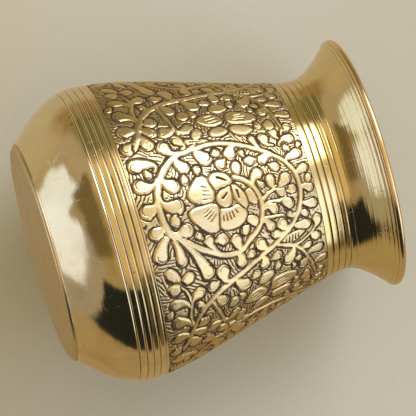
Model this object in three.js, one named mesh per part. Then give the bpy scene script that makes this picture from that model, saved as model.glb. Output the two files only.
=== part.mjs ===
// A brass lota: the round-bellied water pot of a South Asian household, about 600 ml.
// A base plate, three thin shells and a heavy rim ring stand on one axis. The engraved body and the neck
// each tuck a stepped lip into the piece below, at a turned line that hides the seam. The base plate and
// the rim ring are butted on. The braze metal of each of the four joints is a ring of its own.
// Millimetres, +Z up along the pot's axis, origin at the centre of the underside.

import * as THREE from "three";

// Driving dimensions of the outside.
const HEIGHT = 115;
const FOOT_RADIUS = 36.5;
const BELLY = { r: 51, z: 24.5 }; // widest ring
const NECK = { r: 33.3, z: 98.3 }; // narrowest ring
const LIP = { r: 42.4, z: 112.5 }; // where the flare ends and the rim ring begins
const RIM_RADIUS = 43.3;

// Sheet, joints and turned lines.
const WALL = 1.2;
const CLEARANCE = 0.15; // between neighbouring pieces
const BRAZE = 0.15; // thickness of the braze metal
const LAP = 4.8; // height of a lap joint
const FILLET = 1.5; // braze metal run out at the inside of a joint
const PLATE = 1.5; // thickness of the base plate
const CHAMFER = 0.7; // round the edge of the underside
const ROUNDING = 0.6; // on the rim ring's edges
const CENTRE_MARK = { r: 1.2, depth: 0.5 }; // left by the lathe in the underside
const BELLY_SEAM = 29.3; // height of the lower end of the engraving
const NECK_SEAM = 90.2; // height of its upper end
const BELLY_LINES = { at: [19.4, 21.9, 24.2, 26.4], width: 1.5, depth: 0.35 };
const NECK_LINES = { at: [92.4, 94.6, 96.8, 99.0], width: 0.9, depth: 0.3 };

const SEGMENTS = 48; // flats round each turned piece
const STEP = 7; // greatest height between the points of a smooth stretch
const LAP_STEP = 3; // the same in a lap, where faces lie close together

// The outside outline, from foot to lip: three curves that run into each other vertically.
const at = (r, z) => new THREE.Vector2(r, z);
const OUTLINE = [
  new THREE.CubicBezierCurve(
    at(FOOT_RADIUS, 0),
    at(FOOT_RADIUS + 8.5, 8.5),
    at(BELLY.r, BELLY.z - 9),
    at(BELLY.r, BELLY.z),
  ),
  new THREE.CubicBezierCurve(
    at(BELLY.r, BELLY.z),
    at(BELLY.r, BELLY.z + 19),
    at(NECK.r, NECK.z - 11),
    at(NECK.r, NECK.z),
  ),
  new THREE.CubicBezierCurve(
    at(NECK.r, NECK.z),
    at(NECK.r, NECK.z + 5.5),
    at(LIP.r - 3.8, LIP.z - 4),
    at(LIP.r, LIP.z),
  ),
];

// The outline's radius and its slope dr/dz at height z, found by halving the curve's parameter.
function station(z) {
  const curve = OUTLINE.find((c) => z <= c.v3.y) ?? OUTLINE.at(-1);
  let low = 0;
  let high = 1;
  for (let i = 0; i < 40; i++) {
    const middle = (low + high) / 2;
    if (curve.getPoint(middle).y < z) low = middle;
    else high = middle;
  }
  const tangent = curve.getTangent(low);
  return { r: curve.getPoint(low).x, slope: tangent.x / tangent.y };
}

const outside = (z) => station(z).r;

// The inner face of the sheet, one wall's thickness square in from the outline.
function inside(z) {
  const { r, slope } = station(z);
  return r - WALL * Math.hypot(1, slope);
}

// The outer face of a lip that is tucked into the piece below.
const lipFace = (z) => inside(z) - BRAZE - 2 * CLEARANCE;

// Evenly spaced heights from low to high, no more than one step apart.
function heights(low, high, step = STEP) {
  const n = Math.ceil((high - low) / step);
  return Array.from({ length: n + 1 }, (_, i) => low + ((high - low) * i) / n);
}

// A surface between two heights, upwards or downwards, as [radius, height] points.
const upward = (face, low, high, step) => heights(low, high, step).map((z) => [face(z), z]);
const downward = (face, low, high, step) => upward(face, low, high, step).reverse();

// A shell's inside from its top edge down, finely stepped where it takes the next piece's lip.
function insideDown(low, high) {
  const socket = high - LAP - FILLET;
  return [...downward(inside, socket, high, LAP_STEP), ...downward(inside, low, socket).slice(1)];
}

// The outside between two heights, with V-shaped turned lines cut in.
function linedOutside(low, high, lines) {
  const half = lines.width / 2;
  const cuts = lines.at.flatMap((z) => [
    [outside(z - half), z - half],
    [outside(z) - lines.depth, z],
    [outside(z + half), z + half],
  ]);
  const first = lines.at[0] - half;
  const last = lines.at.at(-1) + half;
  const below = upward(outside, low, first).slice(0, -1);
  const above = upward(outside, last, high).slice(1);
  return [...below, ...cuts, ...above];
}

// Revolves an outline of [radius, height] points, given anticlockwise with radius to the right.
function turned(name, outline, material) {
  const points = [...outline, outline[0]].map(([r, z]) => at(r, z));
  const mesh = new THREE.Mesh(new THREE.LatheGeometry(points, SEGMENTS).rotateX(Math.PI / 2), material);
  mesh.name = name;
  return mesh;
}

const polished = new THREE.MeshStandardMaterial({ color: 0xc9a24c, roughness: 0.12, metalness: 1 });
const engraved = new THREE.MeshStandardMaterial({ color: 0xb8955a, roughness: 0.3, metalness: 1 });
const scratched = new THREE.MeshStandardMaterial({ color: 0xa88648, roughness: 0.35, metalness: 1 });
const spelter = new THREE.MeshStandardMaterial({ color: 0xc7b27a, roughness: 0.5, metalness: 1 });

// Flat disc that the pot stands on, with the lathe's centre mark in its underside.
function basePlate() {
  return turned(
    "base_plate",
    [
      [0, CENTRE_MARK.depth],
      [CENTRE_MARK.r, 0],
      [FOOT_RADIUS - CHAMFER, 0],
      [outside(CHAMFER), CHAMFER],
      [outside(PLATE), PLATE],
      [0, PLATE],
    ],
    scratched,
  );
}

// Braze metal between the base plate and the bowl's edge, with a fillet inside.
function baseBraze() {
  const low = PLATE + CLEARANCE;
  const high = low + BRAZE;
  return turned(
    "base_braze",
    [
      [inside(high) - FILLET, low],
      [outside(low) - CLEARANCE, low],
      [outside(high) - CLEARANCE, high],
      [inside(high + CLEARANCE) - CLEARANCE, high],
      [inside(high + FILLET) - 2 * CLEARANCE, high + FILLET],
    ],
    spelter,
  );
}

// Cone and belly, from the base plate to the lower seam.
function lowerBowl() {
  const low = PLATE + BRAZE + 2 * CLEARANCE;
  const high = BELLY_SEAM - CLEARANCE;
  return turned("lower_bowl", [...linedOutside(low, high, BELLY_LINES), ...insideDown(low, high)], polished);
}

// A shell above a seam: its outside is given, and its lip reaches down into the piece below.
function lippedShell(name, seam, high, outsidePoints, material) {
  const shoulder = seam + CLEARANCE;
  const lipBack = (z) => lipFace(z) - WALL;
  return turned(
    name,
    [
      ...upward(lipFace, seam - LAP, shoulder, LAP_STEP),
      ...outsidePoints,
      ...insideDown(shoulder + LAP, high),
      [lipBack(shoulder), shoulder + WALL],
      ...downward(lipBack, seam - LAP, shoulder, LAP_STEP),
    ],
    material,
  );
}

// The tapering engraved wall between the two seams.
function engravedBody() {
  const high = NECK_SEAM - CLEARANCE;
  const outsidePoints = upward(outside, BELLY_SEAM + CLEARANCE, high);
  return lippedShell("engraved_body", BELLY_SEAM, high, outsidePoints, engraved);
}

// Collar with turned lines, narrow neck and flared mouth.
function neckAndMouth() {
  const high = LIP.z - CLEARANCE;
  const outsidePoints = linedOutside(NECK_SEAM + CLEARANCE, high, NECK_LINES);
  return lippedShell("neck_and_mouth", NECK_SEAM, high, outsidePoints, polished);
}

// Braze metal in a lap: a thin sleeve between the two walls, and a fillet under the lip.
function lapBraze(name, seam) {
  const lipEnd = seam - LAP - CLEARANCE;
  const sleeveOuter = (z) => inside(z) - CLEARANCE;
  const sleeveInner = (z) => sleeveOuter(z) - BRAZE;
  const top = seam - 2 * CLEARANCE;
  return turned(
    name,
    [
      [sleeveInner(lipEnd - FILLET), lipEnd - FILLET],
      ...upward(sleeveOuter, lipEnd - FILLET, top, LAP_STEP),
      ...downward(sleeveInner, lipEnd, top, LAP_STEP),
      [sleeveInner(lipEnd) - FILLET, lipEnd],
    ],
    spelter,
  );
}

// Braze metal between the flare's edge and the rim ring.
function rimBraze() {
  const inner = inside(LIP.z) + CLEARANCE;
  const outer = LIP.r - CLEARANCE;
  return turned(
    "rim_braze",
    [
      [inner, LIP.z],
      [outer, LIP.z],
      [outer, LIP.z + BRAZE],
      [inner, LIP.z + BRAZE],
    ],
    spelter,
  );
}

// Heavy ring on the edge of the mouth, with rounded edges and a flat top.
function rimRing() {
  const bottom = LIP.z + BRAZE + CLEARANCE;
  const inner = inside(LIP.z);
  return turned(
    "rim_ring",
    [
      [inner, bottom],
      [LIP.r, bottom],
      [RIM_RADIUS, bottom + ROUNDING],
      [RIM_RADIUS, HEIGHT - ROUNDING],
      [RIM_RADIUS - ROUNDING, HEIGHT],
      [inner + ROUNDING, HEIGHT],
      [inner, HEIGHT - ROUNDING],
    ],
    polished,
  );
}

const lota = new THREE.Group();
lota.add(
  basePlate(),
  baseBraze(),
  lowerBowl(),
  lapBraze("belly_braze", BELLY_SEAM),
  engravedBody(),
  lapBraze("neck_braze", NECK_SEAM),
  neckAndMouth(),
  rimBraze(),
  rimRing(),
);

export default lota;
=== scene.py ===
"""The looks of a brass lota: turned and polished shells, a hand-engraved body and a thick rim.

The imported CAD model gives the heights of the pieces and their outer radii. Each CAD piece is replaced by a
fine mesh on the same outline, with its turned lines, rounded edges and, on the body, the engraving cut into
the surface. Lengths are in millimetres until a mesh is made, and in metres from there on. The pot's axis is
+Z and its front is at -Y.
"""

import math

import bpy
import numpy as np
from mathutils import Matrix, Vector


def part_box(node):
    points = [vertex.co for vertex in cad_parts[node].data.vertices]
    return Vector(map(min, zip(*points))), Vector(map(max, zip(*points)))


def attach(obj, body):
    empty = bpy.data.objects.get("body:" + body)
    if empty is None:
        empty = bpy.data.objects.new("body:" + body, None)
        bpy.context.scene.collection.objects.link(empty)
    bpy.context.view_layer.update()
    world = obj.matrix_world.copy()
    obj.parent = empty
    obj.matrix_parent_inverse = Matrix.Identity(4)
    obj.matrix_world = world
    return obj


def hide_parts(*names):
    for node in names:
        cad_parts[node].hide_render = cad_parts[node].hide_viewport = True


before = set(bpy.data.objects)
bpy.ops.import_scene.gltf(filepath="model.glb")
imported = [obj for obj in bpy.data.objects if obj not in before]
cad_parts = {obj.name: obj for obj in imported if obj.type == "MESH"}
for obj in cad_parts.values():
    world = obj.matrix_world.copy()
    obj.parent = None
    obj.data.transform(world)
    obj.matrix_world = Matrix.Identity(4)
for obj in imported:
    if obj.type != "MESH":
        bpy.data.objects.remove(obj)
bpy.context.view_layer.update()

MM = 0.001

# Seeds of the random draws, each of which has a generator of its own.
HAND_SEED = 11
PLATE_SEED = 5
BOWL_SEED = 2
NECK_SEED = 3
ENGRAVING_SEED = 7


def top_of(node):
    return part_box(node)[1].z / MM


def bottom_of(node):
    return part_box(node)[0].z / MM


def radius_of(node):
    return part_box(node)[1].x / MM


# Heights and radii of the CAD model. Points are (radius, height).
CLEARANCE = 0.15  # between neighbouring CAD pieces
LIP_SPREAD = 0.13  # how much the flare widens over the clearance below the rim ring
HEIGHT = top_of("rim_ring")
PLATE_TOP = top_of("base_plate")
BELLY_SEAM = top_of("lower_bowl") + CLEARANCE
NECK_SEAM = top_of("engraved_body") + CLEARANCE
LAP = BELLY_SEAM - bottom_of("engraved_body")
FOOT = (radius_of("base_plate") - PLATE_TOP, 0.0)  # the wall rises from it at 45 degrees
BELLY = (radius_of("lower_bowl"), 24.5)  # the widest ring
NECK = (33.3, 98.3)  # the narrowest ring
LIP = (radius_of("neck_and_mouth") + LIP_SPREAD, top_of("neck_and_mouth") + CLEARANCE)
RIM_RADIUS = radius_of("rim_ring")
WALL = 1.2
LIP_INSET = 0.45  # from a wall's inner face in to the lip that stands inside it

SHELL_COLUMNS = 480  # of mesh round the pot, where there is no engraving

# The outline from foot to lip, as cubic curves of (radius, height). The two middle points of each curve lie
# the lengths given here away from its ends.
OUTLINE = [
    [FOOT, (FOOT[0] + 8.5, 8.5), (BELLY[0], BELLY[1] - 9), BELLY],
    [BELLY, (BELLY[0], BELLY[1] + 19), (NECK[0], NECK[1] - 11), NECK],
    [NECK, (NECK[0], NECK[1] + 5.5), (LIP[0] - 3.8, LIP[1] - 4), LIP],
]


def outline_table(samples=600):
    t = np.linspace(0, 1, samples)[:, None]
    parts = []
    for a, b, c, d in (np.array(curve, float) for curve in OUTLINE):
        parts.append((1 - t) ** 3 * a + 3 * (1 - t) ** 2 * t * b + 3 * (1 - t) * t * t * c + t ** 3 * d)
    table = np.vstack([parts[0], parts[1][1:], parts[2][1:]])
    return table[:, 0], table[:, 1]


TABLE_R, TABLE_Z = outline_table()


def outside(z):
    """The outline's radius at height z."""
    return np.interp(z, TABLE_Z, TABLE_R)


def inside(z):
    """The radius of the sheet's inner face at height z."""
    near = 0.05
    slope = (outside(z + near) - outside(z - near)) / (2 * near)
    return outside(z) - WALL * np.hypot(1, slope)


# ---- Meshes


def mesh_object(name, points, quads, tris=(), values=None):
    """A smooth-shaded piece from points in millimetres, with an optional value per point called patina."""
    mesh = bpy.data.meshes.new(name)
    quads = np.asarray(quads, np.int32).reshape(-1, 4)
    tris = np.asarray(tris, np.int32).reshape(-1, 3)
    mesh.vertices.add(len(points))
    mesh.vertices.foreach_set("co", (np.asarray(points) * MM).astype(np.float32).ravel())
    mesh.loops.add(quads.size + tris.size)
    mesh.loops.foreach_set("vertex_index", np.concatenate([quads.ravel(), tris.ravel()]).astype(np.int32))
    sizes = np.concatenate([np.full(len(quads), 4), np.full(len(tris), 3)])
    mesh.polygons.add(len(sizes))
    mesh.polygons.foreach_set("loop_start", np.concatenate([[0], np.cumsum(sizes)[:-1]]).astype(np.int32))
    mesh.polygons.foreach_set("use_smooth", np.ones(len(sizes), bool))
    if values is not None:
        patina = mesh.attributes.new("patina", "FLOAT", "POINT")
        patina.data.foreach_set("value", np.asarray(values, np.float32))
    mesh.update(calc_edges=True)
    mesh.validate()
    piece = bpy.data.objects.new(name, mesh)
    bpy.context.scene.collection.objects.link(piece)
    return piece


def hand_made(height, angle):
    """Small unevenness of a hand-finished pot, in millimetres, added to the radius."""
    oval, three_sided, wave = 0.05, 0.03, 0.011
    uneven = oval * np.sin(2 * angle + 0.7) + three_sided * np.sin(3 * angle + 0.02 * height + 2.1)
    rng = np.random.default_rng(HAND_SEED)
    for lobes in (4, 5, 7, 9, 12, 16):
        tilt, phase = rng.uniform(-0.5, 0.5), rng.uniform(0, 2 * math.pi)
        uneven = uneven + wave * np.sin(lobes * angle + tilt * height + phase)
    return uneven


def revolved(name, profile, columns=SHELL_COLUMNS, depth=None, values=None):
    """Revolves a closed (radius, height) outline, given anticlockwise with radius to the right.

    Where the outline starts and ends on the axis it makes a disc, and otherwise a ring. depth lowers the
    surface of each point of the (outline point, column) grid, and values is the patina of each.
    """
    profile = np.asarray(profile, float)
    on_axis = profile[0, 0] == 0 and profile[-1, 0] == 0
    ring = profile[1:-1] if on_axis else profile
    rows = len(ring)
    angle = np.arange(columns) * 2 * np.pi / columns
    radius = ring[:, :1] + hand_made(ring[:, 1:], angle[None, :])
    height = np.repeat(ring[:, 1:], columns, 1)
    if depth is not None:
        radius = radius - depth
    points = np.stack([radius * np.sin(angle), -radius * np.cos(angle), height], -1).reshape(-1, 3)
    i = np.arange(rows - 1 if on_axis else rows)[:, None] * columns
    k = np.arange(columns)[None, :]
    after = (k + 1) % columns
    above = (i + columns) % (rows * columns)
    quads = np.stack([i + k, i + after, above + after, above + k], -1).reshape(-1, 4)
    tris = []
    if on_axis:
        first, last = len(points), len(points) + 1
        points = np.vstack([points, [0, 0, profile[0, 1]], [0, 0, profile[-1, 1]]])
        k = np.arange(columns)
        after = (k + 1) % columns
        end = (rows - 1) * columns
        tris = np.vstack([
            np.stack([np.full(columns, first), after, k], -1),
            np.stack([np.full(columns, last), end + k, end + after], -1),
        ])
    return mesh_object(name, points, quads, tris, values)


def rounding_end(corner, neighbour, radius):
    """Where a corner's rounding meets the side to its neighbour: not past the middle of a short side."""
    side = neighbour - corner
    length = np.linalg.norm(side)
    return corner + side / length * min(radius, length * 0.48)


def rounded(corners, radius, steps=5):
    """An open run of corners with each inner one rounded by an arc-like curve."""
    p = np.array(corners, float)
    t = np.linspace(0, 1, steps)[:, None]
    out = [p[:1]]
    for a, b, c in zip(p, p[1:], p[2:]):
        start, end = rounding_end(b, a, radius), rounding_end(b, c, radius)
        out.append((1 - t) ** 2 * start + 2 * t * (1 - t) * b + t * t * end)
    out.append(p[-1:])
    return np.vstack(out)


def run(face, low, high, step):
    """Points of a face from low to high, or downwards if high is below low."""
    z = np.linspace(low, high, max(2, math.ceil(abs(high - low) / step) + 1))
    return np.stack([face(z), z], -1)


def line_patina(z, lines):
    """The tarnish that stays in the turned lines at heights z, from 0 to 1. Shallow lines keep less of it."""
    full_depth = 0.2
    dark = np.zeros_like(z)
    for at, width, deep in lines:
        across = np.abs(z - at) / (width / 2)
        dark = np.maximum(dark, np.clip(1.1 - 1.9 * across, 0, 1) * min(1, deep / full_depth))
    return dark


def turned_lines(z, lines):
    """How deep the turned lines are at heights z, with a small raised burr at both sides of each."""
    burr_at, burr_width, burr_share = 1.25, 0.3, 0.10
    depth = np.zeros_like(z)
    for at, width, deep in lines:
        across = np.abs(z - at) / (width / 2)
        depth += deep * np.clip(1 - across, 0, 1) ** 0.8
        depth -= burr_share * deep * np.clip(1 - np.abs(across - burr_at) / burr_width, 0, 1)
    return depth


def tool_marks(at, seed, size):
    """Fine uneven rings that the turning tool leaves, in millimetres, at heights or radii."""
    rng = np.random.default_rng(seed)
    marks = np.zeros_like(at)
    for pitch, share in ((0.9, 1.0), (0.45, 0.7)):
        knots = np.arange(-1, HEIGHT + 2, pitch)
        places = knots + rng.uniform(-0.2, 0.2, len(knots)) * pitch
        marks += share * np.interp(at, places, rng.uniform(-1, 1, len(knots)))
    return size * marks


# ---- The engraving
# It is drawn on the wall unrolled at DRAWN_RADIUS, in millimetres: v goes up the pot, and u round it from
# the front. The unrolling keeps angles, so flowers stay round and grow smaller towards the neck. One tile
# is repeated round the pot.

DRAWN_RADIUS = 44.0
REPEATS = 4
PERIOD = 2 * math.pi * DRAWN_RADIUS / REPEATS
TILE_START = -26.0
PITCH = 0.1  # of the grid that the tile is drawn on
FAR = 9.0  # stands for any distance where no shape is near
RELIEF = 0.36  # how deep the deepest cuts are
HATCH_PITCH = 1.1
GROOVE_AT = 0.16  # from a land's edge out to the middle of the groove round it
BLACK_AT = 0.26  # from a land's edge out to the middle of the dark line in that groove
VINE_RADIUS = 0.78  # half width of a vine of weight 1
TAIL_RADIUS = 0.46  # half width of a leaf's tail at its end
TAIL_RUN = 1.8  # how far the tail runs on past the leaf's foot
BARE_GROUND = 2.0  # half width of the widest ground that is left without a leaf

# Vines: (weight at the start, weight at the end, points).
STEMS = [
    (1.3, 1.3, [(4.5, 46.5), (6.6, 43), (8.2, 39), (10.4, 35.2), (14.2, 31.6), (20, 28.5), (28, 26),
        (36, 23.2), (43, 20.8), (49, 17.8), (54, 13.3), (57.4, 7.5), (58.6, 0.5), (57, -6), (52.6, -11.2),
        (46, -15.6), (38, -19.1), (30, -20.4), (22, -19.4), (15.4, -17.6), (10.6, -13.6), (7.5, -8.6),
        (6.2, -2.5), (7.2, 4.2), (11.6, 8.8), (17, 13.4), (23, 17), (28.5, 18), (33.2, 15.4),
        (37.6, 12.4), (40.2, 8.4), (41.2, 3.5), (40, -1.2), (37.2, -5), (33.5, -7)]),
    (0.9, 0.5, [(8.6, 38), (8.1, 33), (8.8, 28.5), (8.2, 24), (6.6, 21.5)]),
    (1.2, 0.8, [(43.5, 21.5), (49.5, 24.4), (53.6, 29), (56, 34.5), (57.6, 40), (59, 46)]),
    (1, 0.6, [(46, 23.2), (51.5, 25), (57, 23.6), (60.5, 21.8)]),
    (0.9, 0.6, [(41.4, 3.6), (44.5, 1.6), (47.6, 0.4)]),
    (0.9, 0.6, [(41, 6.6), (44, 4.9), (48, 5.4), (50.5, 4.8)]),
    (0.9, 0.6, [(39.6, 10), (42.5, 10.2), (46, 10.6), (48.6, 11.4)]),
    (1, 0.6, [(15.5, 30.8), (18, 37), (19.6, 43.4)]),
]
# Comma leaves: (head v, head u, head radius, foot v, foot u, bend where it isn't the usual one).
LEAVES = [
    (2.7, -22.8, 1.9, 5.4, -24.5), (8.8, -23.4, 2, 6.4, -26.8), (13.2, -21.3, 2.1, 16, -18.6, 0.3),
    (18.2, -23.4, 1.7, 20.6, -20.6, -0.2), (3.1, -17, 2.1, 9.6, -15.6, -0.3),
    (2.8, -10.4, 2.1, 7.4, -10.2), (2.7, -2.9, 2.1, 6, -4.4), (3.3, 3.8, 1.9, 6.6, 2.4),
    (2.9, 10.2, 2.1, 6.9, 5.4, -0.3), (12.2, -8.6, 2.1, 9.2, -11.6, -0.2),
    (11.6, -2.2, 2.2, 7.2, -4.6, -0.25), (12.6, 5.4, 2, 8.6, 5.6, -0.25),
    (17.2, -13.7, 2.1, 15.6, -17.4, -0.2), (25.2, -15.6, 2.5, 23.2, -19.4, -0.2),
    (34.6, -15.6, 2.2, 37.4, -19, -0.2), (46.4, -11.4, 2.1, 50.2, -12.6, -0.2),
    (42.6, -6.6, 2, 39.4, -2.6, 0.3), (46.9, -3.2, 1.9, 47.4, 0.4), (53.2, -2.2, 2.2, 49, 0.6, 0.25),
    (50.2, 2.7, 1.8, 47.2, 0.6), (45.2, 7.6, 1.9, 42, 6), (52, 7.6, 2, 49.6, 5.2, -0.2),
    (42.2, 13.4, 1.9, 40, 10.8), (47, 14.6, 2.2, 49.6, 17.2), (36.9, 18.6, 2.2, 39.6, 21.8),
    (43.6, 17.2, 1.7, 47.6, 18.2), (28.2, 13.7, 2, 29.6, 17.6), (28.6, 21.6, 2, 27.4, 18),
    (18.9, 10.6, 1.7, 21, 15.4), (16.2, 20.4, 2.2, 9.2, 7.2, -0.22), (8.9, 13.9, 1.5, 7.3, 5.6, 0.12),
    (21.2, 22.4, 2.3, 22.6, 27), (12.2, 25.8, 1.9, 8.8, 28, 0.3), (4.1, 26.6, 1.8, 8.4, 28.6, -0.2),
    (4.2, 33.4, 2, 8.2, 35.8, -0.2), (3.4, 40, 2, 7.4, 40.8, -0.2), (19.5, 32.8, 2, 17.4, 29.8, -0.2),
    (28.3, 31, 2.3, 25.2, 27, -0.25), (12.2, 37.6, 1.9, 9.6, 36.4, -0.2), (15.2, 42.4, 2, 18.8, 41.2),
    (11.2, 41.8, 1.6, 7.8, 40), (23.6, 41.6, 1.9, 19.4, 42.6, -0.2), (37.2, 26.6, 2.1, 36.4, 23.2, 0.1),
    (47.4, 30, 2.5, 49.8, 24.8, 0.25), (53.2, 35.8, 2.1, 55.4, 33.2), (60.6, 25.2, 2, 58.4, 23, -0.2),
    (57.2, 18.2, 2.1, 51.4, 16, -0.2), (62.4, 18, 2.1, 60.8, 21.4), (62.2, 10.6, 1.9, 57, 8.6, -0.2),
    (61.2, 31.6, 2, 55.2, 32.2, 0.3), (62.4, 38.4, 2, 57.4, 39.2), (49.4, -20, 2.1, 52.6, -16.4, 0.3),
    (44.9, -20.4, 1.5, 47.6, -14.8), (60, -18.3, 2.2, 55, -16, 0.3), (61, -11.2, 2.2, 55.4, -9),
    (62.2, -4.6, 1.9, 58.2, -2.4), (62.2, 3.8, 1.9, 58.4, 3), (54.4, -22.2, 1.9, 56.8, -18.4),
    (60.8, -23.8, 1.9, 57.4, -20.6), (25.6, -25.2, 1.9, 22.4, -20.2, -0.2), (56.6, 27.8, 1.5, 53.2, 28.4),
]
# Closed outlines, each a land of its own: petals, pointed leaves and buds.
PETALS = [
    [(15.9, -4.2), (18.6, -8.2), (21.2, -10), (23.6, -9), (24.2, -6.2), (25, -3.6), (23.2, -1.1),
     (18.6, -1.4)],
    [(15.2, 0.2), (19.5, -0.3), (24, -0.1), (25, 1.8), (24, 5.2), (23.2, 8.3), (19.6, 8.2), (16.6, 5),
     (15, 2.6)],
    [(24.9, 3.4), (26.2, 2.2), (29, 2.8), (31.6, 2.2), (34.4, 4.6), (34, 7.6), (30.4, 9.4), (26.6, 9.5),
     (24, 8)],
    [(24.4, -8.6), (27, -10.1), (30.6, -9), (32.2, -6.4), (31, -5), (28.2, -4.9), (25.6, -4.4),
     (24.6, -6.4)],
    [(25, -1), (26.4, -3.2), (29.2, -4.3), (31, -4.5), (30.8, -1.6), (29.6, 1.1), (28, 2), (26.4, 1.5)],
    [(31.7, -4.6), (34, -3.6), (35.7, -0.4), (35.9, 2.8), (34.2, 4.1), (32.6, 1.8), (31.3, -1.2)],
    [(36.1, -1.2), (38.4, -1.9), (39.8, 1.2), (39.3, 3.6), (36.7, 2.6)],
    [(33.4, -10.6), (35, -12.6), (37, -11.6), (36.8, -9.2), (35.2, -7.6), (33.8, -8.6)],
    [(20.6, -23.4), (24.6, -23.1), (28.8, -21.9), (24.4, -21.2), (20.8, -21.3)],
    [(44.6, 21.6), (47.6, 20), (51.4, 19.4), (56.2, 20.6), (53, 22.4), (49.4, 22.9)],
    [(33.9, 7.9), (36.2, 7.2), (38.2, 8.8), (38.1, 10.8), (36, 11.2), (34.3, 10)],
    # little flower by the lower seam
    [(3, 15.4), (5, 15), (6.7, 17), (6.8, 19.3), (4.6, 19.2), (3, 17.5)],
    [(7.4, 19.4), (9.4, 17.7), (11.4, 18.9), (10.9, 21), (8.6, 21.3)],
    [(2.8, 20.6), (4.8, 20), (6.6, 21.1), (5.6, 23), (3.4, 23.2)],
    # little flower below the great one
    [(21.4, 36.2), (22.6, 34.2), (24.8, 34.6), (25, 36.8), (23.2, 37.9)],
    [(25.7, 33.6), (27.6, 34.4), (28, 36.2), (26.2, 36.8)],
    # second great flower
    [(27.2, 39), (29, 36.9), (33.4, 35.8), (36, 37.8), (36.2, 40.4), (31, 41.4)],
    [(38.4, 37), (40.6, 35.2), (46, 35.6), (49.6, 37.6), (49, 40.3), (43.4, 41.3), (38.6, 40.3)],
    [(33.4, 33.2), (35.6, 30.8), (39.2, 31), (40.2, 33), (38, 34.6), (35, 35)],
    [(30.8, 43.2), (35.2, 42), (37.2, 44.2), (34.2, 46), (30.4, 45.4)],
    [(38.6, 42.2), (43.6, 42.4), (46.8, 44.4), (43, 46.6), (39, 45.2)],
    # spare petals along the upper seam
    [(54.2, 40.6), (56, 43), (55, 46), (52.4, 45.6), (51.6, 42.6)],
]
# Single chisel cuts into the lands, thinner at the second end: width: [(v, u, v, u), ...].
CUTS = {
    0.6: [(27.4, -8.2, 30.3, -6.6), (27.4, -1.1, 29.3, -2.6)],
    0.55: [(33.2, -2.6, 33.3, 0.4)],
    0.28: [(21.3, -6.6, 23, -5.8), (21.4, -5, 23.2, -4.4), (21, -3.6, 23, -3), (20.6, -2.2, 22.8, -1.9),
        (19.6, 3.2, 23.6, 1), (20.4, 4, 23.8, 1.9), (21.2, 5, 24, 2.9), (19.8, 2, 22.6, 0.6)],
    0.3: [(25.7, 6, 26, 4), (27, 6.3, 27.1, 3.6), (28.4, 6.2, 28.2, 3.6), (29.8, 5.8, 29.3, 3.5),
        (31.3, 4.9, 30.5, 3.2), (45.6, 38.2, 41.4, 38.6), (44.6, 39.6, 40.6, 39.6), (44.4, 37, 41, 37.6),
        (34, 38.2, 30.2, 39.2), (34.4, 39.6, 31, 40.4), (33, 37, 30.4, 37.8), (47, 22.4, 47.6, 20.6),
        (48.4, 22.5, 49, 20.2), (49.8, 22.5, 50.4, 20.1), (51.2, 22.3, 51.8, 20.1),
        (52.6, 22, 53.2, 20.4), (22.4, -22.2, 27.4, -21.9)],
}


def noise(shape, cell, rng):
    """Smooth noise from -1 to 1 that wraps round the tile, with features about cell samples wide."""
    counts = [max(2, round(size / cell)) for size in shape]
    out = rng.uniform(-1, 1, counts)
    for axis, size in enumerate(shape):
        t = np.arange(size) * counts[axis] / size
        low = t.astype(int)
        f = t - low
        f = np.expand_dims(f * f * (3 - 2 * f), 1 - axis)
        here = np.take(out, low % counts[axis], axis)
        following = np.take(out, (low + 1) % counts[axis], axis)
        out = here * (1 - f) + following * f
    return out


def bell(x):
    """A hump that is 1 at 0 and falls off on both sides."""
    return np.exp(-x ** 2)


def smooth_line(points, closed, per=8):
    """A smooth (Catmull-Rom) line through the points."""
    p = np.array(points, float)
    if closed:
        p = np.vstack([p[-1], p, p[0], p[1]])
    else:
        p = np.vstack([2 * p[0] - p[1], p, 2 * p[-1] - p[-2]])
    t = (np.arange(per) / per)[:, None]
    out = []
    for a, b, c, d in zip(p, p[1:], p[2:], p[3:]):
        bend = (2 * a - 5 * b + 4 * c - d) * t ** 2 + (3 * b - a - 3 * c + d) * t ** 3
        out.append(b + 0.5 * ((c - a) * t + bend))
    return np.vstack(out if closed else out + [p[-2:-1]])


def stroke_distance(v, u, line, radii):
    """Distance outside a round-ended stroke whose half width changes along it, negative inside."""
    best = np.full(v.shape, np.inf)
    for (v0, u0), (v1, u1), r0, r1 in zip(line, line[1:], radii, radii[1:]):
        dv, du = v1 - v0, u1 - u0
        t = np.clip(((v - v0) * dv + (u - u0) * du) / (dv * dv + du * du + 1e-9), 0, 1)
        best = np.minimum(best, np.hypot(v - v0 - t * dv, u - u0 - t * du) - r0 - t * (r1 - r0))
    return best


def outline_distance(v, u, line):
    """Distance outside a closed outline, negative inside."""
    within = np.zeros(v.shape, bool)
    for (v0, u0), (v1, u1) in zip(line, np.roll(line, -1, 0)):
        if u0 != u1:
            within ^= ((u0 > u) != (u1 > u)) & (v < v0 + (u - u0) * (v1 - v0) / (u1 - u0))
    edge = stroke_distance(v, u, np.vstack([line, line[:1]]), np.zeros(len(line) + 1))
    return np.where(within, -edge, edge)


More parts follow.
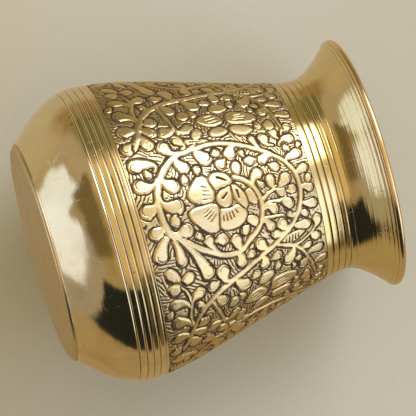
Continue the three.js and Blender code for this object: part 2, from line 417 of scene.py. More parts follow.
class Tile:
    """One repeat of the engraving, as a grid of u rows and v columns.

    The lands are the vines, leaves and petals. vine, heads, first and second are distances outside what is
    drawn, negative inside: to the nearest vine, the nearest leaf's head or petal, and the nearest and the
    next nearest leaf or petal. cut is the chisel strokes, from 0 to 1.
    """

    def __init__(self, height):
        self.rng = np.random.default_rng(ENGRAVING_SEED)
        self.height = height
        self.shape = (round(PERIOD / PITCH), round(height / PITCH))
        self.step = PERIOD / self.shape[0]
        self.u = TILE_START + np.arange(self.shape[0]) * self.step
        self.v = (np.arange(self.shape[1]) + 0.5) * PITCH
        self.vine, self.heads, self.first, self.second = (np.full(self.shape, FAR) for _ in range(4))
        self.cut = np.zeros(self.shape)
        self.curls = []
        self.stems = []
        self.shake_v = self.shake()
        self.shake_u = self.shake()

    def noise(self, cell):
        return noise(self.shape, cell, self.rng)

    def shake(self):
        """How far the hand strays from the drawing."""
        return 0.16 * self.noise(22) + 0.07 * self.noise(8)

    def window(self, line, margin):
        """The part of the grid round a line: its index, and the shaken v and u of its samples."""
        v_low, u_low = np.min(line, 0) - margin
        v_high, u_high = np.max(line, 0) + margin
        start, end = (u_low - TILE_START) // self.step, (u_high - TILE_START) // self.step
        rows = np.arange(start, end + 1, dtype=int)[:self.shape[0]]
        columns = np.arange(max(0, int(v_low / PITCH)), min(self.shape[1], int(v_high / PITCH) + 1))
        at = np.ix_(rows % self.shape[0], columns)
        v, u = np.meshgrid(self.v[columns], TILE_START + rows * self.step)
        return at, v + self.shake_v[at], u + self.shake_u[at]

    def add_land(self, at, distance):
        """Adds a leaf or petal, and keeps the distances to the nearest and the next nearest of them."""
        nearest, following = self.first[at], self.second[at]
        self.first[at] = np.minimum(nearest, distance)
        self.second[at] = np.minimum(np.maximum(nearest, distance), following)

    def draw_stem(self, start, end, points):
        """A vine whose weight changes evenly from start to end, drawn a short stretch at a time."""
        stretch = 8
        line = smooth_line(points, False)
        radii = np.linspace(start, end, len(line)) * VINE_RADIUS
        self.stems.append(np.hstack([line[:-1], np.diff(line, axis=0)]))
        for k in range(0, len(line) - 1, stretch):
            part = slice(k, k + stretch + 1)
            at, v, u = self.window(line[part], 3)
            self.vine[at] = np.minimum(self.vine[at], stroke_distance(v, u, line[part], radii[part]))

    def stem_direction(self, foot, lean):
        """The unit vector along the stem at a leaf's foot, to the side that the leaf leans to.

        It is 0 where the foot is off the stems.
        """
        reach = 2.2
        stems = np.vstack(self.stems)
        aside = (stems[:, 1] - foot[1] + PERIOD / 2) % PERIOD - PERIOD / 2
        away = np.hypot(stems[:, 0] - foot[0], aside)
        nearest = np.argmin(away)
        if away[nearest] > reach:
            return np.zeros(2)
        along = stems[nearest, 2:] / np.linalg.norm(stems[nearest, 2:])
        return along if along @ lean >= 0 else -along

    def draw_leaf(self, head_v, head_u, radius, foot_v, foot_u, bend=0.2):
        """A comma-shaped leaf: a round head and a bent tail that runs out along the stem at its foot."""
        radius = radius * 1.06 + 0.05
        head, foot = np.array([head_v, head_u]), np.array([foot_v, foot_u])
        middle = (head + foot) / 2 + 1.6 * bend * np.array([head_u - foot_u, foot_v - head_v])
        along = self.stem_direction(foot, middle - foot)
        if along.any():
            middle = foot + along * 0.35 * np.linalg.norm(head - foot)
        end = foot - along * TAIL_RUN
        t = np.linspace(0, 1, 9)[:, None]
        line = (1 - t) ** 2 * head + 2 * t * (1 - t) * middle + t * t * end
        at, v, u = self.window(line, 3 + radius)
        radii = TAIL_RADIUS + (radius - TAIL_RADIUS) * (1 - t[:, 0]) ** 1.8
        self.add_land(at, stroke_distance(v, u, line, radii))
        self.heads[at] = np.minimum(self.heads[at], np.hypot(v - head_v, u - head_u) - radius)
        self.add_curl(head, foot, radius, bend)

    def add_curl(self, head, foot, radius, bend):
        """The stroke that curls in under a leaf's head, on the inner side of its bend."""
        towards = (foot - head) / np.linalg.norm(foot - head)
        inner = np.array([-towards[1], towards[0]]) * (1 if bend < 0 else -1)
        turn = np.radians(np.linspace(55, 230, 9))[:, None]
        reach = radius * np.linspace(1.05, 0.42, 9)[:, None]
        curl = head + reach * (np.cos(turn) * towards + np.sin(turn) * inner)
        self.curls.append((curl, np.linspace(0.20, 0.04, len(curl))))

    def draw_petal(self, points):
        """A closed outline, a little fuller than its points."""
        line = smooth_line(points, True, 5)
        at, v, u = self.window(line, 3)
        distance = outline_distance(v, u, line) - 0.12
        self.add_land(at, distance)
        self.heads[at] = np.minimum(self.heads[at], distance)

    def fill_bare_ground(self):
        """Adds leaves in the widest stretches of bare ground, each with its tail to the nearest land."""
        most, widest, moat = 60, 1.9, 0.85
        border = np.minimum(self.v, self.height - self.v)[None, :] + 0.4
        reach = np.arange(-40, 41)
        apart = np.hypot(*np.meshgrid(reach, reach, indexing="ij")) * PITCH
        for _ in range(most):
            land = np.minimum(self.first, self.vine)
            room = np.minimum(land, border)
            row, column = np.unravel_index(np.argmax(room), self.shape)
            if room[row, column] < BARE_GROUND:
                return
            rows = (row + reach[:, None]) % self.shape[0]
            columns = np.clip(column + reach[None, :], 0, self.shape[1] - 1)
            cost = np.where(land[rows, columns] < -0.2, apart, 99.0)
            a, b = np.unravel_index(np.argmin(cost), cost.shape)
            v, u = self.v[column], self.u[row]
            radius = min(widest, room[row, column] - moat)
            foot_v, foot_u = v + reach[b] * PITCH, u + reach[a] * self.step
            self.draw_leaf(v, u, radius, foot_v, foot_u, self.rng.uniform(-0.3, 0.3))

    def draw_cuts(self):
        """Chisel strokes on the lands: those of CUTS, and the curls under the heads of the leaves."""
        strokes = []
        for width, places in CUTS.items():
            for place in places:
                strokes.append((np.reshape(place, (2, 2)), (width * 0.7, width * 0.35)))
        for line, radii in strokes + self.curls:
            at, v, u = self.window(line, 1)
            distance = stroke_distance(v, u, line, radii)
            self.cut[at] = np.maximum(self.cut[at], 1 - np.clip(distance / 0.22 + 0.6, 0, 1))

    def draw(self):
        """Draws the whole ornament."""
        for stem in STEMS:
            self.draw_stem(*stem)
        for petal in PETALS:
            self.draw_petal(petal)
        for leaf in LEAVES:
            self.draw_leaf(*leaf)
        self.fill_bare_ground()
        self.draw_cuts()

    def hatching(self):
        """Short parallel cuts in the ground, in cells that each have a direction of their own, or dots."""
        cells, lined_share, upright_border = 240, 0.72, 8
        cell_v = self.rng.uniform(0, self.height, cells)
        cell_u = self.rng.uniform(TILE_START, TILE_START + PERIOD, cells)
        angle = self.rng.uniform(0, math.pi, cells)
        angle = np.where(cell_v > self.height - upright_border, math.pi / 2, angle)
        lined = self.rng.uniform(0, 1, cells) < lined_share
        v, u = np.meshgrid(self.v, self.u)
        nearest = np.full(self.shape, np.inf)
        owner = np.zeros(self.shape, int)
        for k in range(cells):
            du = (u - cell_u[k] + PERIOD / 2) % PERIOD - PERIOD / 2
            distance = (v - cell_v[k]) ** 2 + du ** 2
            closer = distance < nearest
            nearest[closer] = distance[closer]
            owner[closer] = k
        dv = v - cell_v[owner] + self.shake_v * 2
        du = (u - cell_u[owner] + PERIOD / 2) % PERIOD - PERIOD / 2 + self.shake_u * 2
        phase = ((dv * np.cos(angle[owner]) + du * np.sin(angle[owner])) / HATCH_PITCH) % 1
        strokes = np.clip(1.5 - np.abs(phase - 0.5) * 9, 0, 1)
        dots = np.clip(self.noise(5) * 3 - 1.3, 0, 1)
        return np.where(lined[owner], strokes, dots)

    def seams(self, width):
        """Seams between lands that touch, from 0 to 1 in their middle, fading over width.

        They lie halfway between two leaves or petals, and where a head lies over a vine.
        """
        between = np.maximum(self.second - self.first, 0) / 2
        meeting = np.clip((self.second + 0.5) / 0.3, 0, 1) * (self.first < 0.1)
        meeting = meeting * np.clip(self.vine / 0.25, 0, 1)
        over_vine = np.abs(self.heads - self.vine) / 2
        crossing = (self.heads < 0.1) * (self.vine < 0.1)
        return np.maximum(bell(between / width) * meeting, bell(over_vine / width) * crossing)

    def relief(self):
        """How deep each sample is cut, from 0 on the lands to 1, and how dark it has grown."""
        self.draw()
        worn = self.noise(28) + 0.5 * self.noise(11)
        half = 0.34 + 0.07 * self.noise(30)
        land = np.minimum(self.first, self.vine)
        off_land = np.clip(land / 0.5 + 0.3, 0, 1)
        hatched = self.hatching()
        cut = self.cut * (land < 0)
        shoulder = np.where(land < GROOVE_AT, 0.40, half + 0.06)
        groove = bell((land - GROOVE_AT) / shoulder)
        ground = off_land * (0.32 + 0.40 * hatched)
        depth = np.maximum.reduce([groove, self.seams(half * 0.8), ground, 0.7 * cut])
        depth += 0.05 * self.noise(18) + 0.02 * self.noise(9)
        line = bell((land - BLACK_AT) / (half * 0.80)) * (0.94 + 0.30 * worn)
        gap = self.seams(half * 0.60) * (0.94 + 0.22 * worn)
        dark = np.maximum.reduce([line, gap, off_land * (0.22 + 0.74 * hatched), cut])
        return softened(np.maximum(depth, 0)), dark


def softened(grid):
    """The grid with its sharpest corners blurred, as a worn surface is."""
    blurred = (grid + 0.5 * np.roll(grid, 1, 0) + 0.5 * np.roll(grid, -1, 0)) / 2
    wide = np.pad(blurred, ((0, 0), (1, 1)), mode="edge")
    return (blurred + 0.5 * wide[:, :-2] + 0.5 * wide[:, 2:]) / 2


def unrolled(z):
    """v at the outline's height z: lengths up the wall, scaled as the girth is scaled to DRAWN_RADIUS."""
    z_fine = np.linspace(BELLY_SEAM, NECK_SEAM, 2000)
    r_fine = outside(z_fine)
    length = np.hypot(np.diff(z_fine), np.diff(r_fine)) * DRAWN_RADIUS / ((r_fine[1:] + r_fine[:-1]) / 2)
    return np.interp(z, z_fine, np.concatenate([[0], np.cumsum(length)]))


def sampled(grid, tile, v, u):
    """The tile's value at each pair of v (rows) and u (columns)."""
    row = ((u - TILE_START) / tile.step) % tile.shape[0]
    column = np.clip(v / PITCH - 0.5, 0, tile.shape[1] - 1.001)
    i, j = row.astype(int), column.astype(int)
    fi, fj = (row - i)[None, :], (column - j)[:, None]
    after = (i + 1) % tile.shape[0]
    low = grid[np.ix_(i, j)].T * (1 - fi) + grid[np.ix_(after, j)].T * fi
    high = grid[np.ix_(i, j + 1)].T * (1 - fi) + grid[np.ix_(after, j + 1)].T * fi
    return low * (1 - fj) + high * fj


# ---- Materials


class Nodes:
    """A short way to build the node tree of a material or a world."""

    def __init__(self, owner):
        owner.use_nodes = True
        self.tree = owner.node_tree
        self.tree.nodes.clear()

    def add(self, kind, inputs=None, **settings):
        node = self.tree.nodes.new("ShaderNode" + kind)
        for key, value in settings.items():
            setattr(node, key, value)
        for key, value in (inputs or {}).items():
            socket = node.inputs[key]
            if isinstance(value, bpy.types.NodeSocket):
                self.tree.links.new(value, socket)
            else:
                socket.default_value = value
        return node

    def math(self, operation, a, b=0.0, clamp=False):
        return self.add("Math", {0: a, 1: b}, operation=operation, use_clamp=clamp).outputs[0]

    def plus(self, a, b, clamp=False):
        return self.math("ADD", a, b, clamp)

    def minus(self, a, b):
        return self.math("SUBTRACT", a, b)

    def times(self, a, b):
        return self.math("MULTIPLY", a, b)

    def position(self, scale):
        """Object coordinates, scaled along each axis. All pieces share one origin, so they share these."""
        coordinates = self.add("TexCoord").outputs["Object"]
        return self.add("Mapping", {"Vector": coordinates, "Scale": scale}).outputs["Vector"]

    def noise(self, scale, detail=3.0, roughness=0.55, distortion=0.0):
        inputs = {"Vector": self.position(scale), "Scale": 1.0, "Detail": detail}
        inputs.update({"Roughness": roughness, "Distortion": distortion})
        return self.add("TexNoise", inputs).outputs["Fac"]

    def range(self, value, low, high, to_low=0.0, to_high=1.0):
        inputs = {"Value": value, "From Min": low, "From Max": high, "To Min": to_low, "To Max": to_high}
        return self.add("MapRange", inputs, clamp=True).outputs["Result"]

    def mix(self, factor, a, b):
        return self.add("Mix", {0: factor, 6: a, 7: b}, data_type="RGBA").outputs[2]

    def metal(self, tone, rough, height, edge=(1, 1, 1, 1), metallic=1.0, strength=1.0, rise=MM):
        """Ends the tree in a metal of this tone, whose surface rises by height times rise."""
        bump = self.add("Bump", {"Height": height, "Strength": strength, "Distance": rise}).outputs["Normal"]
        inputs = {"Base Color": tone, "Roughness": rough, "Metallic": metallic}
        inputs.update({"Specular Tint": edge, "Normal": bump})
        self.finish(self.add("BsdfPrincipled", inputs).outputs["BSDF"])

    def finish(self, shader):
        self.add("OutputMaterial", {"Surface": shader})


BRASS = (0.87, 0.72, 0.37, 1)
PALE_BRASS = (0.91, 0.80, 0.52, 1)
DEEP_BRASS = (0.82, 0.62, 0.28, 1)
NECK_BRASS = (0.84, 0.68, 0.26, 1)
RIM_BRASS = (0.90, 0.66, 0.31, 1)
PLATE_BRASS = (0.76, 0.61, 0.34, 1)
LANDS = ((0.86, 0.65, 0.285, 1), (0.86, 0.705, 0.35, 1))
TARNISH = (0.42, 0.29, 0.14, 1)
OXIDE = (0.075, 0.055, 0.035, 1)
BRAZE_TONES = ((0.62, 0.52, 0.31, 1), (0.34, 0.26, 0.14, 1))
STONE_TONES = ((0.70, 0.715, 0.565, 1), (0.69, 0.65, 0.44, 1))
STONE_GRAIN = (0.45, 0.40, 0.32, 1)
# Tints of the reflections at grazing angles.
EDGE_TINT = (1.0, 0.94, 0.80, 1)
PLATE_EDGE_TINT = (0.80, 0.74, 0.60, 1)
ENGRAVED_EDGE_TINT = (0.85, 0.76, 0.57, 1)
TURNING_SCALE = 2600  # of the turning lines, per metre of height or radius


def turning_lines(n, flat):
    """Fine lines round the axis, as a value from 0 to 1. On a flat face they go by the radius."""
    if not flat:
        return n.noise((14, 14, TURNING_SCALE), detail=4, roughness=0.7)
    radius = n.add("VectorMath", {0: n.position((1, 1, 0))}, operation="LENGTH").outputs["Value"]
    inputs = {"W": n.times(radius, TURNING_SCALE), "Scale": 1.0, "Detail": 4.0, "Roughness": 0.7}
    return n.add("TexNoise", inputs, noise_dimensions="1D").outputs["Fac"]


def scratches(n):
    """Thin random hairlines, 0 where there are none."""
    total = None
    for scale in ((900, 60, 110), (90, 700, 140), (260, 240, 38)):
        hair = n.range(n.noise(scale, detail=2, distortion=0.6), 0.685, 0.72)
        total = hair if total is None else n.plus(total, hair, clamp=True)
    return total


def small_pits(n, share):
    """Small round pits in a share of the cells of a fine pattern, as a value from 0 to 1."""
    cell = n.add("TexVoronoi", {"Vector": n.position((420, 420, 420)), "Scale": 1.0})
    dot = n.range(cell.outputs["Distance"], 0.10, 0.24, 1.0, 0.0)
    drawn = n.add("SeparateColor", {"Color": cell.outputs["Color"]}).outputs[0]
    return n.times(dot, n.range(drawn, 1 - share, 1 - share + 0.02))


def brass(name, colour, roughness, lines, wear, flat=False, dull=0.0, pits=0.0, edge=EDGE_TINT):
    """Polished or turned brass: uneven colour, smudges, turning lines, hairlines and small pits.

    lines is the depth of the turning lines in millimetres, and dull how much rougher they are. wear is how
    smudged the surface is, flat is for a face across the axis, and pits is how common the pits are.
    """
    hair_depth, pit_depth = 0.012, 0.05
    material = bpy.data.materials.new(name)
    n = Nodes(material)
    clouds = n.noise((26, 26, 34), detail=4)
    smudge = n.noise((70, 70, 45), detail=5, roughness=0.62)
    line = turning_lines(n, flat)
    hair = scratches(n)
    tone = n.mix(n.range(clouds, 0.35, 0.68), colour, DEEP_BRASS)
    tone = n.mix(n.times(n.range(smudge, 0.5, 0.75), wear * 0.8), tone, TARNISH)
    tone = n.mix(n.times(hair, 0.35), tone, PALE_BRASS)
    patina = n.add("Attribute", attribute_name="patina").outputs["Fac"]
    patina = n.plus(patina, n.range(smudge, 0.3, 0.7, -0.2, 0.1))
    tone = n.mix(n.range(patina, 0.1, 0.9), tone, OXIDE)
    rough = n.range(smudge, 0.3, 0.75, roughness, roughness + 0.16 * wear)
    rough = n.plus(rough, n.range(line, 0.35, 0.7, 0.0, 0.05 + dull * 0.1))
    rough = n.plus(rough, n.times(hair, 0.12))
    height = n.times(line, lines)
    height = n.minus(height, n.times(hair, hair_depth))
    if pits:
        dot = small_pits(n, pits)
        tone = n.mix(dot, tone, OXIDE)
        rough = n.plus(rough, n.times(dot, 0.4), clamp=True)
        height = n.minus(height, n.times(dot, pit_depth))
    n.metal(tone, rough, height, edge)
    return material


def engraved_brass():
    """Worn bright lands and dark oxide in the cuts, told apart by the patina value of each point."""
    grain_depth, dent_depth, hair_depth = 0.014, 0.06, 0.012
    material = bpy.data.materials.new("engraved_brass")
    n = Nodes(material)
    patina = n.add("Attribute", attribute_name="patina").outputs["Fac"]
    grain = n.noise((900, 900, 900), detail=3, roughness=0.6)
    clouds = n.noise((30, 30, 40), detail=4)
    smudge = n.noise((160, 160, 160), detail=4, roughness=0.6)
    dents = n.noise((420, 420, 420), detail=2)
    uneven = n.plus(patina, n.range(grain, 0.25, 0.75, -0.16, 0.16))
    dark = n.range(uneven, 0.30, 0.62)
    stain = n.range(uneven, 0.04, 0.40, 0.12, 0.6)
    tone = n.mix(n.range(clouds, 0.4, 0.7), *LANDS)
    tone = n.mix(n.times(n.range(smudge, 0.5, 0.72), 0.35), tone, TARNISH)
    tone = n.mix(stain, tone, TARNISH)
    tone = n.mix(dark, tone, OXIDE)
    rough = n.range(smudge, 0.35, 0.7, 0.22, 0.34)
    rough = n.plus(rough, n.times(dark, 0.38))
    height = n.plus(n.times(grain, grain_depth), n.times(dents, dent_depth))
    height = n.minus(height, n.times(scratches(n), hair_depth))
    n.metal(tone, rough, height, ENGRAVED_EDGE_TINT, metallic=n.range(dark, 0.0, 1.0, 1.0, 0.55))
    return material


def braze_metal():
    """Dull, slightly lumpy metal as it froze in the joint."""
    material = bpy.data.materials.new("braze_metal")
    n = Nodes(material)
    lumps = n.noise((380, 380, 380), detail=4)
    tone = n.mix(n.range(lumps, 0.35, 0.7), *BRAZE_TONES)
    n.metal(tone, n.range(lumps, 0.3, 0.7, 0.4, 0.62), lumps, strength=0.5, rise=0.3 * MM)
    return material


def pale_stone(name):
    """Honed pale stone, a little warmer in places. It shows from its front only, so it blocks no view."""
    material = bpy.data.materials.new(name)
    n = Nodes(material)
    place = n.add("NewGeometry").outputs["Position"]
    cloud = n.add("TexNoise", {"Vector": place, "Scale": 5.0, "Detail": 4.0}).outputs["Fac"]
    grain = n.add("TexNoise", {"Vector": place, "Scale": 900.0}).outputs["Fac"]
    tone = n.mix(n.range(cloud, 0.35, 0.7), *STONE_TONES)
    tone = n.mix(n.range(grain, 0.3, 0.7, 0.0, 0.08), tone, STONE_GRAIN)
    stone = n.add("BsdfPrincipled", {"Base Color": tone, "Roughness": 0.45}).outputs["BSDF"]
    back = n.add("NewGeometry").outputs["Backfacing"]
    clear = n.add("BsdfTransparent").outputs["BSDF"]
    n.finish(n.add("MixShader", {0: back, 1: stone, 2: clear}).outputs[0])
    return material


# ---- The pieces


def stand_for(node, piece, material):
    """Gives a piece its material and lets it stand for its CAD node."""
    piece.data.materials.append(material)
    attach(piece, "root")
    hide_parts(node)


# Turned lines: (height, width, depth).
BELLY_LINES = [
    (19.5, 0.85, 0.26), (22.0, 0.85, 0.28), (24.25, 0.85, 0.28), (26.5, 0.85, 0.28), (28.5, 0.6, 0.16),
]
NECK_LINES = [
    (92.4, 0.7, 0.24), (94.6, 0.7, 0.24), (97.0, 0.7, 0.24), (99.0, 0.7, 0.24), (101.0, 0.4, 0.1),
    (106.9, 0.3, 0.03), (108.3, 0.3, 0.04), (109.5, 0.3, 0.04), (110.5, 0.35, 0.07), (111.7, 0.5, 0.1),
]
FINE = 0.12  # height of a mesh cell on the turned faces


def turned_face(z, lines, seed, marks):
    """The outer face at heights z, with its turned lines and tool marks."""
    return outside(z) - turned_lines(z, lines) + tool_marks(z, seed, marks)


def mouth_marks(z):
    """Size of the tool marks on the neck and the mouth: they grow stronger on the flare."""
    flare_from, flare_over = 101, 8
    return 0.004 + 0.012 * np.clip((z - flare_from) / flare_over, 0, 1)


def make_base_plate():
    """The turned disc that the pot stands on, with the lathe's centre mark in its underside."""
    centre_mark = [(0, 0.5), (0.35, 0.42), (1.05, 0.06), (1.35, 0.0)]
    pitch, marks = 0.16, 0.012
    rings = np.arange(2.0, FOOT[0] - 1.2, pitch)
    face = np.stack([rings, np.maximum(marks + tool_marks(rings, PLATE_SEED, marks), 0)], -1)
    wall = outside(PLATE_TOP)
    edge = rounded([(FOOT[0] - 1.1, 0), (FOOT[0] - 0.05, 0), (wall, PLATE_TOP)], 0.6, 8)
    top = [(wall - 0.5, PLATE_TOP + 0.005), (0, PLATE_TOP + 0.005)]
    material = brass("underside_brass", PLATE_BRASS, 0.24, lines=0.008, wear=0.35, flat=True, dull=0.5,
                     pits=0.05, edge=PLATE_EDGE_TINT)
    piece = revolved("base_plate_turned", np.vstack([centre_mark, face, edge, top]))
    stand_for("base_plate", piece, material)


def make_lower_bowl():
    """The cone and belly, polished, with a band of turned lines at the widest ring."""
    low, high = PLATE_TOP + 0.01, BELLY_SEAM - 0.04
    outer = run(lambda z: turned_face(z, BELLY_LINES, BOWL_SEED, 0.003), low, high, FINE)
    inner = run(inside, high, low, 0.8)
    dark = np.concatenate([line_patina(outer[:, 1], BELLY_LINES), np.zeros(len(inner))])
    material = brass("polished_brass", BRASS, 0.055, lines=0.004, wear=0.35, pits=0.03)
    piece = revolved("lower_bowl_polished", np.vstack([outer, inner]), values=np.repeat(dark, SHELL_COLUMNS))
    stand_for("lower_bowl", piece, material)


def lip(seam):
    """The stepped lip below a seam: the points of its outer face, upwards."""
    return run(lambda z: inside(z) - LIP_INSET, seam - LAP, seam + 0.02, 1.0)


def lip_back(seam):
    """The points of the same lip's inner face, downwards from the wall above it."""
    step = [(inside(seam) - LIP_INSET - WALL, seam + WALL)]
    return np.vstack([step, run(lambda z: inside(z) - LIP_INSET - WALL, seam, seam - LAP, 1.0)])


def make_neck_and_mouth():
    """The collar with its turned lines, the narrow neck and the flared mouth, with a lip into the body."""
    low, high = NECK_SEAM + 0.03, LIP[1] + 0.1
    below = lip(NECK_SEAM)
    outer = run(lambda z: turned_face(z, NECK_LINES, NECK_SEED, mouth_marks(z)), low, high, FINE)
    inner = run(inside, high, NECK_SEAM + LAP, 0.5)
    shell = np.vstack([below, outer, inner, lip_back(NECK_SEAM)])
    dark = np.zeros(len(shell))
    dark[len(below):len(below) + len(outer)] = line_patina(outer[:, 1], NECK_LINES)
    material = brass("turned_brass", NECK_BRASS, 0.07, lines=0.022, wear=0.3, pits=0.03)
    piece = revolved("neck_and_mouth_polished", shell, values=np.repeat(dark, SHELL_COLUMNS))
    stand_for("neck_and_mouth", piece, material)


def make_rim_ring():
    """The thick band on the edge of the mouth, a little narrower at its top."""
    low = LIP[1] + 0.16
    inner = inside(LIP[1])
    corners = [
        (inner + 0.8, low), (RIM_RADIUS - 0.5, low), (RIM_RADIUS, low + 0.75),
        (RIM_RADIUS - 0.05, HEIGHT - 0.55), (RIM_RADIUS - 0.75, HEIGHT), (inner + 0.7, HEIGHT),
        (inner, HEIGHT - 0.8), (inner, low), (inner + 0.8, low),
    ]
    material = brass("rim_brass", RIM_BRASS, 0.12, lines=0.006, wear=0.3)
    piece = revolved("rim_ring_polished", rounded(corners, 0.5, 6)[:-1])
    stand_for("rim_ring", piece, material)


def make_base_braze(material):
    """The fillet of braze inside the pot, between the bowl and the base plate."""
    low = PLATE_TOP + 0.02
    high = low + 1.6
    corner = inside(low + 0.1)
    fillet = rounded([(corner - 1.6, low), (corner - 0.4, low + 0.35), (inside(high) - 0.05, high)], 0.9)
    profile = np.vstack([fillet, [(corner - 0.05, low + 0.05)]])[::-1]
    stand_for("base_braze", revolved("base_braze_fillet", profile), material)


def make_lap_braze(node, seam, material):
    """The sleeve of braze between a lip and the wall round it, with a bead under the lip."""
    end, top = seam - LAP, seam - 0.3
    outer = run(lambda z: inside(z) - 0.08, end - 1.5, top, 0.8)
    inner = run(lambda z: inside(z) - 0.38, top, end - 0.05, 0.8)
    under = inside(end)
    bead = rounded([inner[-1], (under - 1.6, end - 0.08), (under - 0.7, end - 1.0), outer[0]], 0.5)
    piece = revolved(node + "_fillet", np.vstack([outer, inner[:-1], bead[:-1]]))
    stand_for(node, piece, material)


def make_rim_braze(material):
    """The fine line of braze under the rim ring."""
    low, high = LIP[1] + 0.10, LIP[1] + 0.15
    near, far = inside(low) + 0.2, outside(LIP[1]) - 0.3
    piece = revolved("rim_braze_line", [(near, low), (far, low), (far, high), (near, high)])
    stand_for("rim_braze", piece, material)


def make_braze():
    material = braze_metal()
    make_base_braze(material)
    make_lap_braze("belly_braze", BELLY_SEAM, material)
    make_lap_braze("neck_braze", NECK_SEAM, material)
    make_rim_braze(material)


ENGRAVED_COLUMNS = 1440  # of mesh round the pot, where the engraving is


def make_engraved_body():
    """The wall with the engraving, at one mesh cell to about a fifth of a millimetre."""
    low, high = BELLY_SEAM + 0.03, NECK_SEAM - 0.03
    girth = 2 * math.pi * DRAWN_RADIUS
    z_fine = np.linspace(low, high, 2000)
    v_fine = unrolled(z_fine)
    count = round(ENGRAVED_COLUMNS * v_fine[-1] / girth)
    z = np.interp(np.linspace(v_fine[0], v_fine[-1], count), v_fine, z_fine)
    u = np.arange(ENGRAVED_COLUMNS) * girth / ENGRAVED_COLUMNS
    tile = Tile(v_fine[-1])
    cut, dark = (sampled(grid, tile, unrolled(z), u) for grid in tile.relief())
    outer = np.stack([outside(z), z], -1)
    inner = run(inside, high, BELLY_SEAM + LAP, 2.0)
    below = lip(BELLY_SEAM)
    shell = np.vstack([below, outer, inner, lip_back(BELLY_SEAM)])
    depth = np.zeros((len(shell), ENGRAVED_COLUMNS))
    patina = np.zeros_like(depth)
    engraved = slice(len(below), len(below) + count)
    depth[engraved] = cut * RELIEF
    patina[engraved] = dark
    piece = revolved("engraved_body_chased", shell, ENGRAVED_COLUMNS, depth, patina.ravel())
    stand_for("engraved_body", piece, engraved_brass())


# ---- The stage, in metres
# A pale slab that the pot's side rests on, a floor, the room's light and the camera.

AIM = Vector((0, 0, HEIGHT * MM / 2))
SLAB_SIZE = 2.4


def make_slab(name, centre, normal):
    """A square of the stage whose front looks along normal. Only the camera sees it."""
    mesh = bpy.data.meshes.new(name)
    h = SLAB_SIZE / 2
    mesh.from_pydata([(-h, -h, 0), (h, -h, 0), (h, h, 0), (-h, h, 0)], [], [(0, 1, 2, 3)])
    slab = bpy.data.objects.new(name, mesh)
    bpy.context.scene.collection.objects.link(slab)
    slab.matrix_world = Matrix.LocRotScale(Vector(centre), Vector(normal).to_track_quat("Z", "Y"), None)
    slab.data.materials.append(pale_stone(name + "_stone"))
    slab.visible_diffuse = False
    slab.visible_glossy = False
    slab.visible_shadow = False


def make_stage():
    """A slab that the belly and the rim all but touch at the pot's back, and a floor under the pot."""
    slab_gap, floor_gap = 0.0004, 0.0002
    belly = Vector((0, BELLY[0] * MM, BELLY[1] * MM))
    rim = Vector((0, RIM_RADIUS * MM, (HEIGHT - 1) * MM))
    along = (rim - belly).normalized()
    normal = Vector((1, 0, 0)).cross(along)
    make_slab("backdrop", belly - normal * slab_gap + along * 0.03, normal)
    make_slab("floor", (0, 0, -floor_gap), (0, 0, 1))


# The room seen in the brass: soft panels of light and shade, each over the ones before it, as
# ((azimuth, elevation), (half width, half height), softness, radiance), with angles in degrees.
# Azimuth 0 is in front, at -Y, and grows towards +X.
ROOM = (0.45, 0.36, 0.25, 1)
ROOM_SHADE = (0.37, 0.285, 0.18, 1)
UNEVEN = 3.5  # how far the panels' edges stray
PANELS = [
    ((-140, -5), (42, 45), 20, (0.51, 0.45, 0.38)),
    ((-18, 46), (50, 38), 14, (0.76, 0.65, 0.48)),
    ((-14, -5), (50, 19), 14, (0.79, 0.60, 0.32)),
    ((15, 56), (88, 24), 8, (0.86, 0.88, 0.98)),
    ((56, 36), (36, 15), 8, (1.42, 1.54, 1.90)),
    ((30, 33), (22, 9), 10, (1.40, 1.50, 2.30)),
    ((-42, 38), (22, 17), 8, (4.2, 4.4, 5.5)),
    ((-80, -32), (30, 14), 10, (0.46, 0.40, 0.36)),
    ((-114, -4), (13, 22), 10, (0.34, 0.24, 0.13)),
    ((42, -63), (66, 13), 5, (0.41, 0.38, 0.38)),
    ((-80, -62), (28, 13), 3, (0.92, 1.04, 1.52)),
    ((-20, -80), (90, 14), 4, (1.00, 1.12, 1.70)),
    ((-19, -45), (40, 13), 6, (0.19, 0.145, 0.08)),
    ((-85, 5), (22, 22), 12, (0.19, 0.18, 0.09)),
    ((76, -20), (30, 32), 3, (0.020, 0.024, 0.027)),
    ((72, 16), (34, 8), 6, (0.14, 0.115, 0.08)),
]
SEEN = (0.60, 0.57, 0.50, 1)  # past the stage's edges


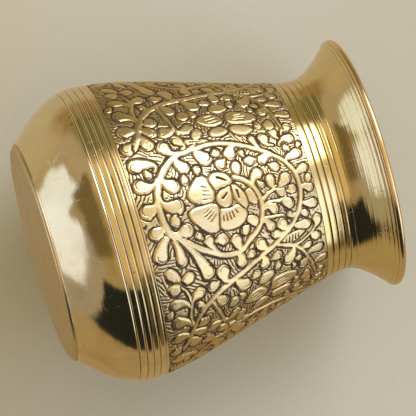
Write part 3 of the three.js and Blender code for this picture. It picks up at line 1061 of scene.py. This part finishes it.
def light_room():
    """Lights the scene by the room's panels, and shows a plain pale colour past the stage's edges."""
    world = bpy.data.worlds.new("studio")
    bpy.context.scene.world = world
    n = Nodes(world)
    towards = n.add("TexCoord").outputs["Generated"]
    direction = n.add("SeparateXYZ", {"Vector": towards}).outputs
    stray = n.add("TexNoise", {"Vector": towards, "Scale": 4.0, "Detail": 4.0}).outputs["Color"]
    stray = n.add("SeparateColor", {"Color": stray}).outputs
    front = n.times(direction["Y"], -1.0)
    azimuth = n.math("DEGREES", n.math("ARCTAN2", direction["X"], front))
    azimuth = n.plus(azimuth, n.range(stray[0], 0.25, 0.75, -UNEVEN, UNEVEN))
    elevation = n.math("DEGREES", n.math("ARCSINE", direction["Z"]))
    elevation = n.plus(elevation, n.range(stray[1], 0.25, 0.75, -UNEVEN, UNEVEN))
    light = n.mix(n.range(stray[2], 0.3, 0.7), ROOM, ROOM_SHADE)
    for (az, el), (half_width, half_height), soft, radiance in PANELS:
        aside = n.math("ABSOLUTE", n.minus(azimuth, az))
        above = n.math("ABSOLUTE", n.minus(elevation, el))
        across = n.range(aside, half_width - soft / 2, half_width + soft / 2, 1.0, 0.0)
        along = n.range(above, half_height - soft / 2, half_height + soft / 2, 1.0, 0.0)
        light = n.mix(n.times(across, along), light, (*radiance, 1))
    lit = n.add("Background", {"Color": light}).outputs[0]
    seen = n.add("Background", {"Color": SEEN}).outputs[0]
    direct = n.add("LightPath").outputs["Is Camera Ray"]
    surface = n.add("MixShader", {0: direct, 1: lit, 2: seen}).outputs[0]
    n.add("OutputWorld", {"Surface": surface})


def make_camera():
    """The camera sees the pot lying across the picture, from the side and 8 degrees towards its foot."""
    pitch, roll = math.radians(-8.24), math.radians(15.92)
    distance, across, down = 1.151, 0.0015, 0.0002
    back = Vector((0, -math.cos(pitch), math.sin(pitch)))
    axis = (Vector((0, 0, 1)) - back * back.z).normalized()
    side = back.cross(axis)
    right = axis * math.cos(roll) - side * math.sin(roll)
    up = back.cross(right)
    camera = bpy.data.cameras.new("camera")
    camera.sensor_width = 36
    camera.lens = 294.3
    camera.clip_start, camera.clip_end = 0.05, 20
    holder = bpy.data.objects.new("camera", camera)
    bpy.context.scene.collection.objects.link(holder)
    place = AIM + back * distance + right * across - up * down
    holder.matrix_world = Matrix.Translation(place) @ Matrix((right, up, back)).transposed().to_4x4()
    bpy.context.scene.camera = holder


make_base_plate()
make_lower_bowl()
make_engraved_body()
make_neck_and_mouth()
make_rim_ring()
make_braze()
make_stage()
light_room()
make_camera()
bpy.context.scene.view_settings.view_transform = "Standard"
